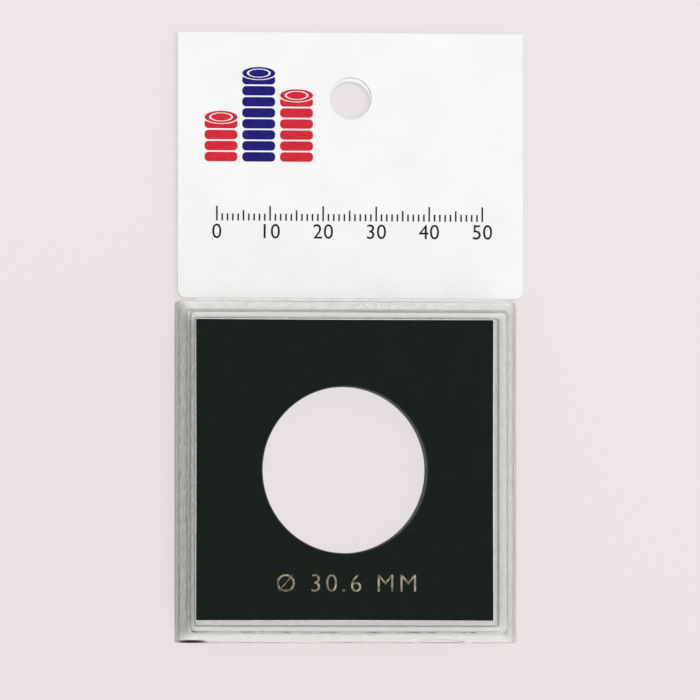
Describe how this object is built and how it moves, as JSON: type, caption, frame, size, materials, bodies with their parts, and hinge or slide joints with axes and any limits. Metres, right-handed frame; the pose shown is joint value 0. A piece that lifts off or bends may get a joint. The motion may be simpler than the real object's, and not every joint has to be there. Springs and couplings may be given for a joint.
{
  "type": "acrylic coin holder",
  "caption": "Square clear case for a coin: a lift-off front cover over a black insert with a round coin hole, on a back cover with a white film hang header.",
  "frame": {"origin": "centre of the case's back face, on the surface that the case lies on", "axes": "+Z out of the front of the case, +Y towards the hang header, +X to the right as seen from the front"},
  "size_m": [0.0657, 0.1136, 0.0072],
  "materials": {
    "clear_acrylic": "polished",
    "black_insert": "satin",
    "white_film": "satin",
    "clear_film": "gloss",
    "adhesive": "satin"
  },
  "bodies": {
    "case": {"back_cover": "clear_acrylic", "header_adhesive": "adhesive", "header_tail": "clear_film"},
    "cover": {"front_cover": "clear_acrylic"},
    "insert": {"coin_insert": "black_insert"},
    "header": {"header_front_ply": "white_film", "header_back_ply": "white_film"}
  },
  "joints": [
    {"name": "cover_lift", "type": "slide", "parent": "case", "child": "cover", "axis": [0, 0, 1], "range_m": [0, 0.03]},
    {"name": "insert_lift", "type": "slide", "parent": "case", "child": "insert", "axis": [0, 0, 1], "range_m": [0, 0.015]},
    {"name": "header_fold", "type": "hinge", "parent": "case", "child": "header", "pos_m": [0.0014, 0.0321, 0.00092], "axis": [1, 0, 0], "range_deg": [0, 90], "deforming": ["header_tail"]}
  ],
  "couplings": [
    {"joint": "insert_lift", "follows": "cover_lift", "ratio": 0.5}
  ]
}
